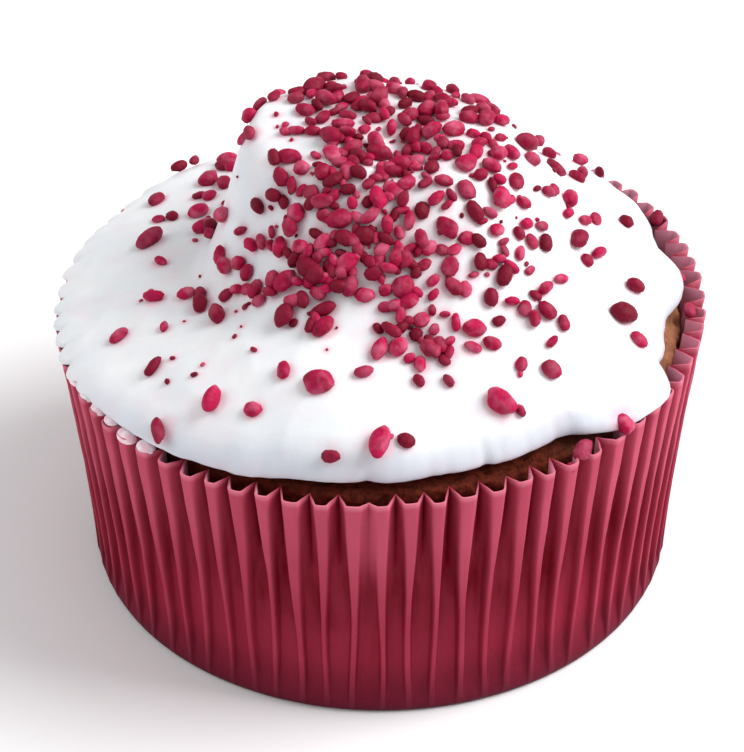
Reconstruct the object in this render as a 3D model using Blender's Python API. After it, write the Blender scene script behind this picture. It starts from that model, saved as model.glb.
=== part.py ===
"""Iced muffin in a pleated paper case, at its real size.

Three pieces, each a solid of its own:

  paper_case  the greaseproof cup, a thin wall folded into pleats
  cake        the dark sponge that fills the cup and domes over its rim
  icing       the white icing spooned over the dome, with the bits of
              freeze-dried raspberry that are stuck in it

The origin is the centre of the case's base and +Z is up. The side where the
cake shows below the icing faces -Y, and on the -X side the icing runs out
over the rim.
"""

import math
import random

import bmesh
import bpy
import numpy as np
from mathutils import Matrix, Vector

MM = 0.001

# Paper case: sizes to the crests of the pleats.
PLEATS = 72
RIM_RADIUS = 34.0 * MM
BASE_RADIUS = 30.8 * MM
CASE_HEIGHT = 29.7 * MM
RIM_TILT = 1.2 * MM  # the rim stands this much higher at +X, and lower at -X
PAPER = 0.25 * MM
FLOOR_RADIUS = 29.4 * MM  # the flat disc that the muffin stands on
FOOT_HEIGHT = 0.9 * MM  # the base's rounded edge ends here
BASE_PLEAT_DEPTH = 0.5 * MM
RIM_PLEAT_DEPTH = 2.0 * MM
BASE_CREST = 0.24  # share of a pleat's width that its crest takes
RIM_CREST = 0.52
FLANK = 0.14  # share that each side of a pleat takes
FAN_HEIGHT = 0.46  # share of the height above which the crests fan out
FLARE = 1.4  # over 1, the wall curves outwards towards the rim
PRESSED_FOLD = 53.5  # the fold after this pleat was pressed nearly flat

# Cake: it stops just short of the folds of the paper.
CLEARANCE = 0.3 * MM
CAKE_TOP_HEIGHT = 35.5 * MM
SHOULDER_HEIGHT = 29.3 * MM
SHOULDER_RADIUS = 30.2 * MM
CAKE_SEGMENTS = 48

# Icing: bearings run anticlockwise from +X, so 270 is the front.
ICING_SEGMENTS = 56
ICING_REACH_MM = (
    (4, 32.0), (14, 30.6), (28, 31.6), (60, 31.5), (100, 31.9), (125, 32.6), (145, 33.0),
    (170, 33.7), (205, 33.8), (228, 33.2), (243, 32.5), (254, 31.6), (270, 31.2), (285, 30.6),
    (307, 30.4), (318, 31.7), (326, 32.4), (338, 30.9), (350, 29.9),
)
LIP_HEIGHT_MM = (
    (0, 30.8), (30, 31.1), (90, 30.4), (125, 29.8), (150, 29.6), (205, 29.5), (235, 29.9),
    (262, 30.6), (320, 30.9),
)
# From the lip's widest line up to the icing's face.
LIP_RISE_MM = ((0, 1.6), (90, 1.4), (130, 0.7), (205, 0.7), (240, 1.5), (300, 1.6))
LIP_DROP = 0.4 * MM  # and from that line down to its underside
LIP_ROUND = 2.2 * MM
UNDER_GAP = 0.55 * MM  # between the cake's dome and the icing, where neither is seen
SLOPE_RISE_MM = ((0, 10.3), (100, 9.0), (135, 6.0), (170, 5.2), (200, 7.0), (235, 10.0), (290, 10.3))
DOME_RISE = 10.3 * MM  # from the lip to the dome's top, under the mound
MOUND_RISE = 7.9 * MM  # the spooned heap in the middle, above the dome
MOUND_CENTRE_MM = (0.0, 2.0)
MOUND_REACH_MM = (
    (0, 18.4), (45, 16.8), (90, 14.6), (135, 15.6), (165, 16.0), (190, 16.0), (225, 14.5),
    (270, 14.0), (315, 15.5),
)
MOUND_FALL_MM = (
    (0, 12), (45, 10), (90, 9), (125, 5), (150, 3.4), (172, 4), (200, 8), (235, 13), (270, 15),
    (315, 15),
)
# Hollows and rises that the spoon left: x, y, radius and height in millimetres.
SPOON_MARKS_MM = (
    (2.4, -1.4, 3.0, -3.0),
    (-12.0, 8.0, 4.0, 1.2),
    (-3.0, 10.5, 5.0, 0.9),
    (12.5, 7.0, 5.0, 0.6),
    (18.0, -14.0, 7.0, 0.9),
    (-8.0, -21.0, 8.0, 0.7),
)
SWIRL_HEIGHT = 0.22 * MM

# Raspberry bits: some that lie apart, and patches that a seeded draw fills.
SEED = 24
STRAY_BITS_MM = (  # x, y, length, and the direction of the length in degrees
    (-24.2, 6.8, 3.5, 114), (-0.1, -29.3, 3.5, 71), (11.8, -24.1, 3.4, 124), (-22, -24, 3.1, 146),
    (-16.6, -22.8, 3, 102), (-6, -23.6, 3, 11), (24.5, -9.8, 3, 127), (-16, -0.3, 3, 38),
    (-16.4, -10.9, 2.8, 12), (14.7, 4.1, 2.8, 115), (-5.6, -17.5, 2.8, 61), (17.3, 25.6, 2.4, 122),
    (-22.8, -15.6, 2.5, 122), (-26.7, -9.2, 2.5, 117), (-23.3, -4.3, 2.4, 62), (-17.5, 3.7, 2.3, 25),
    (-13.2, 6.9, 2.3, 53), (21.7, 22.2, 2.2, 80), (26.1, -12.4, 2.2, 54), (26.2, -3.6, 2.2, 111),
    (-16.8, 16.7, 2.1, 31), (-1.7, -22.5, 2.1, 3), (25.8, 6.6, 2.1, 2), (-12.5, -24.9, 2, 24),
    (-9.5, -21.8, 2, 127), (-22, 23.6, 2, 167), (11.1, -18.6, 2, 125), (18.2, 19.9, 2, 164),
    (-20.4, 24.7, 2, 44), (-4.8, -30.3, 1.9, 5), (-12.2, 8.6, 1.9, 130), (2.5, -28.8, 1.9, 120),
    (22.3, 3.6, 1.9, 130), (18.3, -14.8, 1.8, 79), (-17.3, 21.4, 1.8, 86), (-23, 2.5, 1.8, 78),
    (23.6, 18.4, 1.7, 155), (3.8, -22.9, 1.6, 110), (-22, -10, 1.5, 166), (6.7, -22.6, 1.5, 115),
    (13.8, -24.5, 1.5, 96), (-23.7, 11.4, 1.5, 128),
)
PATCHES_MM = (  # x, y, spread along x, spread along y, count, and how close two may lie
    (2.4, -10.2, 4.3, 3.2, 58, 0.22), (-4.3, -4.7, 2.6, 4.4, 58, 0.21), (-2.7, -11.9, 3.2, 1.9, 44, 0.21),
    (-5.2, -12.7, 1.6, 1.1, 12, 0.16), (-1.4, 7.2, 4.6, 2.4, 38, 0.25), (6.1, -10.4, 4.4, 3.7, 32, 0.28),
    (3.9, -18.5, 1.9, 1.5, 21, 0.2), (-14.8, -6.5, 2.2, 2.2, 16, 0.3), (12.0, -2.7, 2.2, 3.8, 22, 0.3),
    (-2.1, 2.2, 4.5, 4.2, 18, 0.28), (4.1, 0.8, 1.7, 2.4, 15, 0.24), (11.8, -7.7, 3.4, 5.5, 10, 0.36),
    (19.9, -0.9, 1.1, 1.7, 6, 0.36), (-20.3, 14.8, 2.3, 5.0, 6, 0.4), (1.0, 18.0, 9.0, 4.5, 70, 0.36),
)
EDGE_MM = 2.0  # no drawn bit comes closer to the icing's edge
LENGTHS_MM = (1.0, 2.9, 1.8)  # shortest, longest and most usual
PILE_RISE = 0.45  # how far a bit rides up on one that it lies on, as a share of its length
BIT_SUNK = 0.2  # share of a bit's thickness that is below the icing
SOLID_BITS = 150  # the largest ones, which are part of the icing's solid


def eased(start, end, value):
    """0 before start, 1 after end, and a smooth step between them."""
    share = min(1.0, max(0.0, (value - start) / (end - start)))
    return share * share * (3 - 2 * share)


def around(marks, bearing):
    """The value at a bearing in degrees, eased between the marks (bearing, value) that go round."""
    bearing %= 360
    wrapped = [(marks[-1][0] - 360, marks[-1][1]), *marks, (marks[0][0] + 360, marks[0][1])]
    for (start, low), (end, high) in zip(wrapped, wrapped[1:]):
        if bearing <= end:
            return low + (high - low) * eased(start, end, bearing)
    return wrapped[-1][1]


def uneven(number, first, second):
    """A value from -1 to 1 that differs from pleat to pleat, by a rule."""
    return 0.6 * math.sin(first * number) + 0.4 * math.sin(second * number)


# ---------------------------------------------------------------- paper case


def fold_share(pleat):
    """How deep the fold after a pleat is, as a share of the usual depth."""
    pressed = math.exp(-(((pleat + 0.5 - PRESSED_FOLD) / 0.6) ** 2))
    return (1 + 0.15 * uneven(pleat, 1.7, 4.3)) * (1 - 0.7 * pressed)


def pleat_corners(height):
    """The folds' midline at this share of the height: four corners a pleat, as (x, y, z)."""
    opened = max(0.0, height - FAN_HEIGHT) / (1 - FAN_HEIGHT)
    half_crest = (BASE_CREST + (RIM_CREST - BASE_CREST) * opened) / 2
    radius = BASE_RADIUS + (RIM_RADIUS - BASE_RADIUS) * height**FLARE
    depth = BASE_PLEAT_DEPTH + (RIM_PLEAT_DEPTH - BASE_PLEAT_DEPTH) * height
    corners = []
    for pleat in range(PLEATS):
        centre = pleat + 0.07 * uneven(pleat, 0.7, 1.3) + 0.05 * height * uneven(pleat, 1.1, 0.5)
        crest = half_crest * (1 + 0.08 * uneven(pleat, 3.1, 0.9))
        before, after = radius - depth * fold_share(pleat - 1), radius - depth * fold_share(pleat)
        ripple = 0.2 * MM * height * uneven(pleat, 2.9, 1.3)
        for place, reach in (
            (centre - crest - FLANK, before),
            (centre - crest, radius),
            (centre + crest, radius),
            (centre + crest + FLANK, after),
        ):
            bearing = 2 * math.pi * place / PLEATS
            z = height * (CASE_HEIGHT + RIM_TILT * math.cos(bearing)) + ripple
            corners.append((reach * math.cos(bearing), reach * math.sin(bearing), z))
    return np.array(corners)


def beside(corners, distance):
    """The outline moved sideways by distance, outwards if positive, with mitred corners."""
    flat = corners[:, :2]
    along = np.roll(flat, -1, axis=0) - flat
    along /= np.linalg.norm(along, axis=1)[:, None]
    outward = np.stack([along[:, 1], -along[:, 0]], axis=1)
    mitre = outward + np.roll(outward, 1, axis=0)
    mitre /= (mitre * outward).sum(axis=1)[:, None]
    moved = corners.copy()
    moved[:, :2] += distance * mitre
    return moved


def flat_ring(count_as, radius, z):
    """A round ring at height z, with its points at the bearings of another ring's points."""
    bearings = np.arctan2(count_as[:, 1], count_as[:, 0])
    return np.stack([radius * np.cos(bearings), radius * np.sin(bearings), np.full(len(bearings), z)], axis=1)


def paper_case_rings():
    """From the middle of the underside, up the outside, over the rim and down the inside."""
    foot = FOOT_HEIGHT / CASE_HEIGHT
    outer = [beside(pleat_corners(share), PAPER / 2) for share in (foot, FAN_HEIGHT, 1.0)]
    inner = [beside(pleat_corners(share), -PAPER / 2) for share in (1.0, FAN_HEIGHT, 2 * foot)]
    return [
        np.array([[0, 0, 0]]),
        flat_ring(outer[0], FLOOR_RADIUS, 0),
        *outer,
        *inner,
        flat_ring(outer[0], FLOOR_RADIUS - PAPER, PAPER),
        np.array([[0, 0, PAPER]]),
    ]


# ---------------------------------------------------------------------- cake


def cake_top(radius):
    """Height of the cake's dome at a distance from the axis."""
    share = min(1.0, radius / SHOULDER_RADIUS)
    return SHOULDER_HEIGHT + (CAKE_TOP_HEIGHT - SHOULDER_HEIGHT) * (1 - share**2.2)


def cake_rings():
    """From the middle of the underside out, up beside the folds, and over the dome."""
    foot = FOOT_HEIGHT / CASE_HEIGHT
    fold = PAPER + CLEARANCE
    low_radius = BASE_RADIUS - BASE_PLEAT_DEPTH * 1.15 - fold - 0.2 * MM
    high_radius = RIM_RADIUS - RIM_PLEAT_DEPTH * 1.15 - fold
    profile = [
        (FLOOR_RADIUS - 1.2 * MM, fold),
        (low_radius, fold + 2 * foot * CASE_HEIGHT),
        ((low_radius + high_radius) / 2, CASE_HEIGHT / 2),
        (high_radius, CASE_HEIGHT * 0.95),
        (high_radius - 0.2 * MM, SHOULDER_HEIGHT - 0.5 * MM),
    ]
    profile += [(radius * MM, cake_top(radius * MM)) for radius in (30.2, 28, 24, 19, 13, 6.5)]
    rings = [np.array([[0, 0, fold]])]
    for radius, z in profile:
        ring = []
        for step in range(CAKE_SEGMENTS):
            bearing = 2 * math.pi * step / CAKE_SEGMENTS
            lump = 0.15 * MM * (math.sin(7 * bearing + 90 * radius / MM) - 1)
            ring.append(((radius + lump) * math.cos(bearing), (radius + lump) * math.sin(bearing), z))
        rings.append(np.array(ring))
    return [*rings, np.array([[0, 0, CAKE_TOP_HEIGHT]])]


# --------------------------------------------------------------------- icing


def icing_reach(bearing):
    return around(ICING_REACH_MM, bearing) * MM


def icing_bottom(radius, gap):
    """The lowest that the icing may come over the cake."""
    return cake_top(radius) + gap if radius < SHOULDER_RADIUS + 1.4 * MM else 0


def lip_height(bearing):
    return around(LIP_HEIGHT_MM, bearing) * MM


def lip_rise(bearing):
    return around(LIP_RISE_MM, bearing) * MM


def icing_top(x, y):
    """Height of the icing's upper face above the point (x, y), in from its rounded lip."""
    bearing = math.degrees(math.atan2(y, x))
    share = min(1.0, math.hypot(x, y) / icing_reach(bearing))
    slope = lip_height(bearing) + lip_rise(bearing) + around(SLOPE_RISE_MM, bearing) * MM * (1 - share**2)
    mound = lip_height(0) + lip_rise(0) + MOUND_RISE + DOME_RISE * (1 - share**2)
    from_mound = (x / MM - MOUND_CENTRE_MM[0], y / MM - MOUND_CENTRE_MM[1])
    side = math.degrees(math.atan2(from_mound[1], from_mound[0]))
    reach, fall = around(MOUND_REACH_MM, side), around(MOUND_FALL_MM, side)
    height = mound + (slope - mound) * eased(reach - fall / 2, reach + fall / 2, math.hypot(*from_mound))
    for mark_x, mark_y, radius, rise in SPOON_MARKS_MM:
        away = math.hypot(x / MM - mark_x, y / MM - mark_y) / radius
        height += rise * MM * math.exp(-(away**2))
    swirl = math.sin(3 * math.radians(bearing) + 7 * share) + math.sin(260 * x + 340 * y)
    return height + SWIRL_HEIGHT * swirl * share


def icing_point(kind, step, bearing):
    """A point of the icing's skin: step is a share of the reach, or degrees round the lip."""
    reach, height, turn = icing_reach(bearing), lip_height(bearing), math.radians(step)
    radius = reach - LIP_ROUND * (1 - math.cos(turn)) if kind == "lip" else reach * step
    x, y = radius * math.cos(math.radians(bearing)), radius * math.sin(math.radians(bearing))
    if kind == "under":
        return x, y, icing_bottom(radius, UNDER_GAP)
    if kind == "over":
        return x, y, icing_top(x, y)
    if turn > 0:
        return x, y, height + (icing_top(x, y) - height) * math.sin(turn)
    return x, y, max(height + LIP_DROP * math.sin(turn), icing_bottom(radius, CLEARANCE))


def icing_rings():
    """From the middle of the underside, over the cake, round the lip and up to the top."""
    bearings = [360 * number / ICING_SEGMENTS for number in range(ICING_SEGMENTS)]
    steps = [("under", step) for step in (0.27, 0.5, 0.7, 0.86)]
    steps += [("lip", step) for step in (-90, -40, 0, 40, 70)]
    steps += [("over", step) for step in (0.88, 0.8, 0.72, 0.65, 0.59, 0.54, 0.48, 0.42, 0.34, 0.25, 0.14)]
    rings = [np.array([icing_point(kind, step, bearing) for bearing in bearings]) for kind, step in steps]
    return [np.array([icing_point("under", 0, 0)]), *rings, np.array([icing_point("over", 0, 0)])]


# ------------------------------------------------------------ raspberry bits


def raspberry_bits():
    """Every bit as (x, y, lift, length, width, thickness, turn, tip), the largest first."""
    draw = random.Random(SEED)
    bits = list(STRAY_BITS_MM)
    for middle_x, middle_y, spread_x, spread_y, count, closeness in PATCHES_MM:
        wanted = len(bits) + count
        while len(bits) < wanted:
            x, y = draw.gauss(middle_x, spread_x), draw.gauss(middle_y, spread_y)
            length, turn = draw.triangular(*LENGTHS_MM), draw.uniform(0, 180)
            clear = all(math.dist((x, y), bit[:2]) > closeness * (length + bit[2]) for bit in bits)
            if clear and math.hypot(x, y) < icing_reach(math.degrees(math.atan2(y, x))) / MM - EDGE_MM:
                bits.append((x, y, length, turn))
    shaped = []
    for number, (x, y, length, turn) in enumerate(bits):
        gaps = [math.dist((x, y), bit[:2]) / (0.4 * (length + bit[2])) for bit in bits[:number]]
        lift = PILE_RISE * length * (1 - min([1.0, *gaps]))
        width, thickness = length * draw.uniform(0.5, 0.85), length * draw.uniform(0.45, 0.68)
        sizes = [value * MM for value in (x, y, lift, length, width, thickness)]
        shaped.append((*sizes, math.radians(turn), draw.gauss(0, 0.2)))
    return sorted(shaped, key=lambda bit: -bit[3])


def icing_normal(x, y):
    step = 0.4 * MM
    rise_x = (icing_top(x + step, y) - icing_top(x - step, y)) / (2 * step)
    rise_y = (icing_top(x, y + step) - icing_top(x, y - step)) / (2 * step)
    return Vector((-rise_x, -rise_y, 1)).normalized()


def bit_placement(bit):
    """Where a bit lies on the icing, as a matrix that takes a unit ball to it."""
    x, y, lift, length, width, thickness, turn, tip = bit
    normal = icing_normal(x, y)
    centre = Vector((x, y, icing_top(x, y))) + normal * (thickness * (0.5 - BIT_SUNK) + lift)
    lie = normal.to_track_quat("Z", "Y").to_matrix().to_4x4()
    turned = Matrix.Rotation(turn, 4, "Z") @ Matrix.Rotation(tip, 4, "X")
    sized = Matrix.Diagonal((length / 2, width / 2, thickness / 2, 1))
    return Matrix.Translation(centre) @ lie @ turned @ sized


# -------------------------------------------------------------------- making


def clear_scene():
    for obj in list(bpy.data.objects):
        bpy.data.objects.remove(obj)


def material(name, colour, roughness):
    made = bpy.data.materials.new(name)
    made.use_nodes = True
    shader = made.node_tree.nodes["Principled BSDF"]
    shader.inputs["Base Color"].default_value = (*colour, 1)
    shader.inputs["Roughness"].default_value = roughness
    return made


def skinned(name, rings, finish):
    """One closed body through the rings, whose first and last are single points."""
    bm = bmesh.new()
    loops = [[bm.verts.new(point) for point in ring] for ring in rings]
    for lower, upper in zip(loops, loops[1:]):
        for number in range(max(len(lower), len(upper))):
            after = number + 1
            corners = [
                lower[number % len(lower)], lower[after % len(lower)],
                upper[after % len(upper)], upper[number % len(upper)],
            ]
            bm.faces.new(dict.fromkeys(corners))
    bmesh.ops.recalc_face_normals(bm, faces=bm.faces)
    mesh = bpy.data.meshes.new(name)
    bm.to_mesh(mesh)
    bm.free()
    mesh.materials.append(finish)
    mesh.shade_smooth()
    mesh.set_sharp_from_angle(angle=math.radians(40))
    obj = bpy.data.objects.new(name, mesh)
    bpy.context.scene.collection.objects.link(obj)
    return obj


def bit_body(number, bit):
    """A nugget: a ball of twenty faces with its corners drawn in by a rule."""
    bm = bmesh.new()
    bmesh.ops.create_icosphere(bm, subdivisions=1, radius=1.12)
    for corner in bm.verts:
        corner.co *= 1 + 0.13 * uneven(number + 5 * corner.index, 2.3, 1.9)
    bm.transform(bit_placement(bit))
    mesh = bpy.data.meshes.new(f"bit_{number}")
    bm.to_mesh(mesh)
    bm.free()
    return bpy.data.objects.new(f"bit_{number}", mesh)


def press_in(icing, bits):
    """Joins the bits to the icing by one Boolean union, and removes them."""
    loose = bpy.data.collections.new("loose_bits")
    bpy.context.scene.collection.children.link(loose)
    for number, bit in enumerate(bits):
        loose.objects.link(bit_body(number, bit))
    union = icing.modifiers.new("press_in", "BOOLEAN")
    union.operation = "UNION"
    union.operand_type = "COLLECTION"
    union.collection = loose
    union.solver = "EXACT"
    joined = bpy.data.meshes.new_from_object(icing.evaluated_get(bpy.context.evaluated_depsgraph_get()))
    icing.modifiers.clear()
    icing.data = joined
    for obj in list(loose.objects):
        bpy.data.objects.remove(obj)
    bpy.data.collections.remove(loose)


def drop_loose(obj):
    """Keeps only the largest body: a bit that touches nothing goes, and so does a sealed hollow."""
    bm = bmesh.new()
    bm.from_mesh(obj.data)
    unseen = set(bm.faces)
    bodies = []
    while unseen:
        body, edge_faces = set(), [unseen.pop()]
        while edge_faces:
            face = edge_faces.pop()
            body.add(face)
            near = {other for edge in face.edges for other in edge.link_faces} & unseen
            unseen -= near
            edge_faces.extend(near)
        bodies.append(body)
    bodies.sort(key=len)
    for body in bodies[:-1]:
        bmesh.ops.delete(bm, geom=list(body), context="FACES")
    bm.to_mesh(obj.data)
    bm.free()


def main():
    clear_scene()
    skinned("paper_case", paper_case_rings(), material("crimson_paper", (0.42, 0.03, 0.08), 0.55))
    skinned("cake", cake_rings(), material("dark_sponge", (0.12, 0.04, 0.02), 0.85))
    icing = skinned("icing", icing_rings(), material("white_icing", (0.86, 0.87, 0.87), 0.45))
    press_in(icing, raspberry_bits()[:SOLID_BITS])
    drop_loose(icing)


main()
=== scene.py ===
# %% [markdown]
# # An iced muffin in a pleated paper case
#
# A dark muffin sits in a crimson paper case, with white icing spooned over it
# and bits of freeze-dried raspberry scattered on top. A packed CAD model gives
# its size and main forms: a plain pleated cup, a plain cake and a coarse heap
# of icing. This lesson dresses that model. Each piece is made at its true
# size, in metres, in the same place as the CAD solid that it stands for, so
# nothing has to be fitted afterwards.
#
# The cells run from top to bottom: the frame, the camera and light, some
# helpers, and then the paper case, the cake, the icing with the raspberry
# bits, and a few last beads of icing at the rim.

# %% Load the packed model
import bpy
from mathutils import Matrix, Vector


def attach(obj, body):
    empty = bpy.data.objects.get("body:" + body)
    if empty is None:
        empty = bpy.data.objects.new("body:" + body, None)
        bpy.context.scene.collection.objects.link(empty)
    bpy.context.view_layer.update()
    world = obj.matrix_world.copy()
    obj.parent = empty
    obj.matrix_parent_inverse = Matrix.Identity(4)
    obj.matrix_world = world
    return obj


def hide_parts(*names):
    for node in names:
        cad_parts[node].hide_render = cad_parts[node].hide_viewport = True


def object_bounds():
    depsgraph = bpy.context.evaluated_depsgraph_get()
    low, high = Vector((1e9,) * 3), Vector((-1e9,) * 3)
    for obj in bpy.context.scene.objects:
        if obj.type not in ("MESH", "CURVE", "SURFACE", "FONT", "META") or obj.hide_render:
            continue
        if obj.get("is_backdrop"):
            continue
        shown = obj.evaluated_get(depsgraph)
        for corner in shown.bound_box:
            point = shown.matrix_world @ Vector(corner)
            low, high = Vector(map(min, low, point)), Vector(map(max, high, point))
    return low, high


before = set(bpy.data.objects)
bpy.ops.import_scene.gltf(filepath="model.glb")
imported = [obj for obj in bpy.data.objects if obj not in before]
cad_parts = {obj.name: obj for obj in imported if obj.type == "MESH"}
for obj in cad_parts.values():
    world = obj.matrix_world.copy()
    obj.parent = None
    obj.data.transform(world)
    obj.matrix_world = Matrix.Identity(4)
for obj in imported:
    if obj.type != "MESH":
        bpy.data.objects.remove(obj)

cad_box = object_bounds()
print("CAD box:", cad_box)

# %% Bring in the tools
import math
import random

import bpy
import numpy as np
from mathutils import Euler, Matrix, Vector, kdtree, noise

MM = 0.001
print("nodes to dress:", sorted(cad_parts))

# %% [markdown]
# ## Camera
#
# A photograph looks right only when the camera stands where the photographer
# stood. From the shape of the case's rim and base in the picture, the camera
# is about 40 cm away and looks down at 39 degrees. One could shift the lens to
# place the muffin in the frame, but turning the camera a little does the same
# and keeps every other view simple, so this one is turned until the centre of
# the case's base falls on its own pixel.

# %% Set up the camera
PICTURE_WIDTH, PICTURE_HEIGHT = 744, 752
FOCAL_PIXELS = 3719.0
BASE_PIXEL_X, BASE_PIXEL_Y = 380.4, 524.3
CAMERA_DISTANCE = 408 * MM
CAMERA_ELEVATION = math.radians(39.1)
FILM_WIDTH = 36.0


def place_camera():
    data = bpy.data.cameras.new("photo_camera")
    data.sensor_width = FILM_WIDTH
    data.lens = FOCAL_PIXELS / PICTURE_HEIGHT * FILM_WIDTH
    data.clip_start = 0.01
    camera = bpy.data.objects.new("photo_camera", data)
    bpy.context.scene.collection.objects.link(camera)
    eye = CAMERA_DISTANCE * Vector((0, -math.cos(CAMERA_ELEVATION), math.sin(CAMERA_ELEVATION)))
    facing = (-eye).to_track_quat("-Z", "Y").to_matrix()
    pan = math.atan((BASE_PIXEL_X - PICTURE_WIDTH / 2) / FOCAL_PIXELS)
    tilt = math.atan((BASE_PIXEL_Y - PICTURE_HEIGHT / 2) / FOCAL_PIXELS)
    facing = Matrix.Rotation(pan, 3, facing @ Vector((0, 1, 0))) @ facing
    facing = Matrix.Rotation(tilt, 3, facing @ Vector((1, 0, 0))) @ facing
    camera.matrix_world = Matrix.Translation(eye) @ facing.to_4x4()
    bpy.context.scene.camera = camera
    return camera


camera = place_camera()
print("camera at", [round(value, 3) for value in camera.matrix_world.translation])

# %% [markdown]
# ## Floor and light
#
# Food is usually lit by one large soft light from the side, which models the
# icing without hard shadows, and by a pale surrounding that fills the shade.
# A bare sun lamp would burn out the white icing and leave the pleats black.
# So there is one large area light high on the right, a much weaker one on the
# left, and a pale world and floor, which send some light back up into the
# pleats.

# %% Lay the floor and hang the lights
FLOOR_HALF_SIZE = 1.5
FLOOR_WHITE = (0.93, 0.93, 0.94)
AIM_HEIGHT = 30 * MM
LIGHTS = (  # name, place in metres, size in metres, watts
    ("key_light", (0.52, 0.02, 0.52), 0.5, 6.6),
    ("fill_light", (-0.58, -0.05, 0.42), 0.6, 1.55),
)
ROOM_STRENGTH = 0.52


def pale_floor():
    mesh = bpy.data.meshes.new("pale_floor")
    corners = [(-1, -1), (1, -1), (1, 1), (-1, 1)]
    mesh.from_pydata([(x * FLOOR_HALF_SIZE, y * FLOOR_HALF_SIZE, 0) for x, y in corners], [], [(0, 1, 2, 3)])
    finish = bpy.data.materials.new("pale_floor")
    finish.use_nodes = True
    shader = finish.node_tree.nodes["Principled BSDF"]
    shader.inputs["Base Color"].default_value = (*FLOOR_WHITE, 1)
    shader.inputs["Roughness"].default_value = 0.9
    mesh.materials.append(finish)
    floor = bpy.data.objects.new("pale_floor", mesh)
    bpy.context.scene.collection.objects.link(floor)
    return floor


def soft_light(name, place, size, watts):
    """A square area light at a place in metres, aimed at the muffin's middle."""
    data = bpy.data.lights.new(name, "AREA")
    data.size = size
    data.energy = watts
    light = bpy.data.objects.new(name, data)
    bpy.context.scene.collection.objects.link(light)
    place = Vector(place)
    aim = (Vector((0, 0, AIM_HEIGHT)) - place).to_track_quat("-Z", "Y")
    light.matrix_world = Matrix.Translation(place) @ aim.to_matrix().to_4x4()


pale_floor()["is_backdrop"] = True
for name, place, size, watts in LIGHTS:
    soft_light(name, place, size, watts)

world = bpy.data.worlds.new("pale_room")
bpy.context.scene.world = world
world.use_nodes = True
world.node_tree.nodes["Background"].inputs["Color"].default_value = (1.0, 1.0, 1.0, 1)
world.node_tree.nodes["Background"].inputs["Strength"].default_value = ROOM_STRENGTH
bpy.context.scene.view_settings.view_transform = "Standard"

# %% [markdown]
# ## Wires that do arithmetic
#
# Geometry Nodes and shader nodes both write a formula as Math nodes joined by
# wires. Placing these by hand takes a page of code for one line of school
# mathematics. A small class makes it readable: a Wire stands for the number
# that comes out of a socket, and adding or multiplying two wires puts the
# Math node in the tree. The same class serves both kinds of tree, because both
# use the same Math node.

# %% Make the wires
class Wire:
    """A number on its way through a node tree. Arithmetic on it adds Math nodes."""

    def __init__(self, socket):
        self.socket = socket
        self.tree = socket.id_data

    def math(self, operation, *others):
        node = self.tree.nodes.new("ShaderNodeMath")
        node.operation = operation
        for place, value in enumerate((self, *others)):
            feed(node.inputs[place], value)
        return Wire(node.outputs[0])

    def __add__(self, other):
        return self.math("ADD", other)

    def __sub__(self, other):
        return self.math("SUBTRACT", other)

    def __mul__(self, other):
        return self.math("MULTIPLY", other)

    def __truediv__(self, other):
        return self.math("DIVIDE", other)

    def __pow__(self, other):
        return self.math("POWER", other)

    def __rsub__(self, other):
        return (self * -1) + other

    __radd__ = __add__
    __rmul__ = __mul__

    def clamped(self):
        limited = self + 0
        limited.socket.node.use_clamp = True
        return limited

    def eased(self):
        """The smooth step of a share that runs from 0 to 1."""
        share = self.clamped()
        return share * share * (3 - 2 * share)

    def towards(self, other, share):
        """This number at share 0, the other one at share 1."""
        return self + (other - self) * share


def feed(socket, value):
    """Gives an input socket a wire, another socket or a plain value."""
    if isinstance(value, Wire):
        value = value.socket
    if isinstance(value, bpy.types.NodeSocket):
        socket.id_data.links.new(value, socket)
    else:
        socket.default_value = value


def add_node(tree, kind, inputs=None, **settings):
    """A new node with its settings, and its inputs by name or by number."""
    node = tree.nodes.new(kind)
    for name, value in settings.items():
        setattr(node, name, value)
    for name, value in (inputs or {}).items():
        feed(node.inputs[name], value)
    return node


print("a wire knows:", [name for name in vars(Wire) if not name.startswith("_")])

# %% [markdown]
# ## Growing a piece from a node tree
#
# A Geometry Nodes tree is a recipe: change one named size, and the whole
# pattern follows. The helpers below make an empty tree with named inputs and
# turn its result into a plain mesh, because an exported model can't carry the
# recipe. A modifier knows its inputs by identifiers such as Socket_3 and not
# by their names, so these are looked up and set before the tree first runs.

# %% Make and run a recipe
SOCKET_KINDS = {float: "NodeSocketFloat", int: "NodeSocketInt", bpy.types.Material: "NodeSocketMaterial"}


def new_recipe(name, sizes, with_start=False):
    """An empty Geometry Nodes tree, its inputs as wires by name, and its output node."""
    tree = bpy.data.node_groups.new(name, "GeometryNodeTree")
    tree.interface.new_socket("Geometry", in_out="OUTPUT", socket_type="NodeSocketGeometry")
    if with_start:
        tree.interface.new_socket("Geometry", in_out="INPUT", socket_type="NodeSocketGeometry")
    for label, value in sizes.items():
        tree.interface.new_socket(label, in_out="INPUT", socket_type=SOCKET_KINDS[type(value)])
    entry = tree.nodes.new("NodeGroupInput")
    wires = {socket.name: Wire(socket) for socket in entry.outputs if socket.name}
    return tree, wires, tree.nodes.new("NodeGroupOutput")


def link_object(name, mesh):
    obj = bpy.data.objects.new(name, mesh)
    bpy.context.scene.collection.objects.link(obj)
    return obj


def settle(obj):
    """Turns what the modifiers make into the object's own plain mesh."""
    graph = bpy.context.evaluated_depsgraph_get()
    mesh = bpy.data.meshes.new_from_object(obj.evaluated_get(graph))
    obj.modifiers.clear()
    if None in list(mesh.materials):
        mesh.materials.pop(index=list(mesh.materials).index(None))
    mesh.name = obj.name
    obj.data = mesh


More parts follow.
